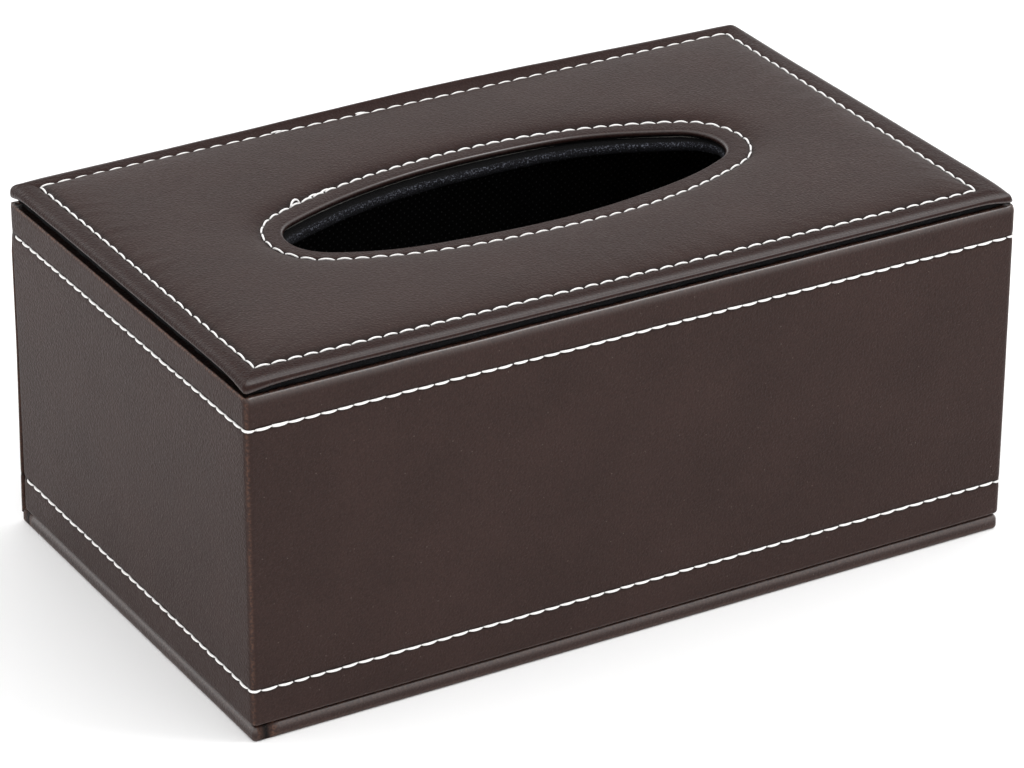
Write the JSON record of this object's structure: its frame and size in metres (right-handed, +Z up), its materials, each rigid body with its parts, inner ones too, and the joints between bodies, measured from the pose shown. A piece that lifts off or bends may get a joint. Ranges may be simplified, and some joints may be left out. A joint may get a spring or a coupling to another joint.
{
  "type": "tissue dispenser",
  "caption": "Leather-covered box that holds a pack of paper tissues and gives them out through an oval slot in its padded lid; the base is a hinged flap for refilling.",
  "frame": {"origin": "centre of the object's footprint, on the surface it stands on", "axes": "+X along the long front, +Y towards the hinge at the back, +Z up"},
  "size_m": [0.2508, 0.1549, 0.1132],
  "materials": {
    "brown_leather": "smooth dark brown imitation leather, satin",
    "white_thread": "thick white sewing thread",
    "black_felt": "black felt with light flecks",
    "black_cloth": "black non-woven cloth with a fine grid of dots",
    "fibreboard": "raw medium-density fibreboard",
    "grey_card": "grey bookbinding card",
    "foam": "soft white foam sheet",
    "steel_brads": "bright steel",
    "magnet": "dark grey ferrite bar"
  },
  "bodies": {
    "box": {"front_wall_board": "fibreboard", "back_wall_board": "fibreboard", "left_wall_board": "fibreboard", "right_wall_board": "fibreboard", "wall_brads": "steel_brads", "wall_magnets": "magnet", "side_skin": "brown_leather", "back_card": "grey_card", "back_skin": "brown_leather", "wall_lining": "black_cloth", "lid_board": "fibreboard", "lid_brads": "steel_brads", "lid_foam": "foam", "lid_skin": "brown_leather", "liner_card": "grey_card", "liner_felt": "black_felt", "lid_edge_thread": "white_thread", "slot_thread": "white_thread", "upper_band_thread": "white_thread", "lower_band_thread": "white_thread", "hinge_strip": "brown_leather"},
    "base_flap": {"base_board": "fibreboard", "base_skin": "brown_leather", "base_lining": "black_cloth", "base_magnets": "magnet"}
  },
  "joints": [
    {"name": "base_flap_hinge", "type": "hinge", "parent": "box", "child": "base_flap", "pos_m": [0, 0.07735, 0.0048], "axis": [1, 0, 0], "range_deg": [0, 179], "deforming": ["hinge_strip"]}
  ]
}
